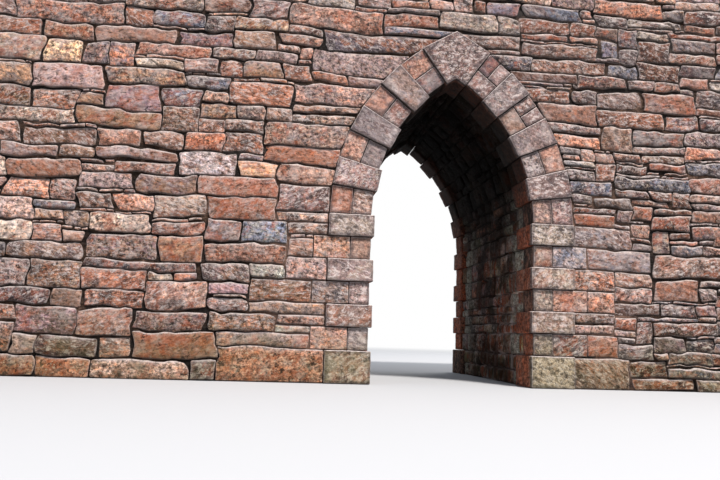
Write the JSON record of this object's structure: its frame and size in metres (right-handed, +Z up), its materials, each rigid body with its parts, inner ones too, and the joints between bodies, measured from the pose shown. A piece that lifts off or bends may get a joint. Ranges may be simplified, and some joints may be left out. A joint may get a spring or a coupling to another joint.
{
  "type": "stone arch bridge",
  "caption": "Short stone road bridge with one narrow pointed arch, proud alternating ring stones and quoins, coursed rubble walls and low parapets.",
  "frame": {"origin": "on the ground under the middle of the arch, at half the bridge's width", "axes": "+X along the bridge to the right of the pictured face, that face towards -Y, +Z up"},
  "size_m": [18, 4.285, 6.31],
  "materials": {
    "dressed_granite": "tooled and weathered, matt",
    "rubble_stone": "rough quarry faces, dry laid",
    "passage_stone": "rough, damp stained",
    "packed_fill": "packed rubble and soil, hidden",
    "road_gravel": "packed gravel"
  },
  "bodies": {
    "root": {"back_coping": "dressed_granite", "back_inner_voussoirs": "dressed_granite", "back_jamb_stretchers": "rubble_stone", "back_keystone": "dressed_granite", "back_left_long_quoins": "dressed_granite", "back_left_short_quoins": "dressed_granite", "back_left_spandrel": "rubble_stone", "back_left_wall": "rubble_stone", "back_long_voussoirs": "dressed_granite", "back_outer_voussoirs": "dressed_granite", "back_parapet": "rubble_stone", "back_right_long_quoins": "dressed_granite", "back_right_short_quoins": "dressed_granite", "back_right_spandrel": "rubble_stone", "back_right_wall": "rubble_stone", "front_coping": "dressed_granite", "front_inner_voussoirs": "dressed_granite", "front_jamb_stretchers": "rubble_stone", "front_keystone": "dressed_granite", "front_left_long_quoins": "dressed_granite", "front_left_short_quoins": "dressed_granite", "front_left_spandrel": "rubble_stone", "front_left_wall": "rubble_stone", "front_long_voussoirs": "dressed_granite", "front_outer_voussoirs": "dressed_granite", "front_parapet": "rubble_stone", "front_right_long_quoins": "dressed_granite", "front_right_short_quoins": "dressed_granite", "front_right_spandrel": "rubble_stone", "front_right_wall": "rubble_stone", "left_end_wall": "rubble_stone", "left_fill": "packed_fill", "left_haunch_fill": "packed_fill", "left_tunnel_wall": "passage_stone", "left_vault": "passage_stone", "right_end_wall": "rubble_stone", "right_fill": "packed_fill", "right_haunch_fill": "packed_fill", "right_tunnel_wall": "passage_stone", "right_vault": "passage_stone", "roadway": "road_gravel"}
  },
  "joints": []
}
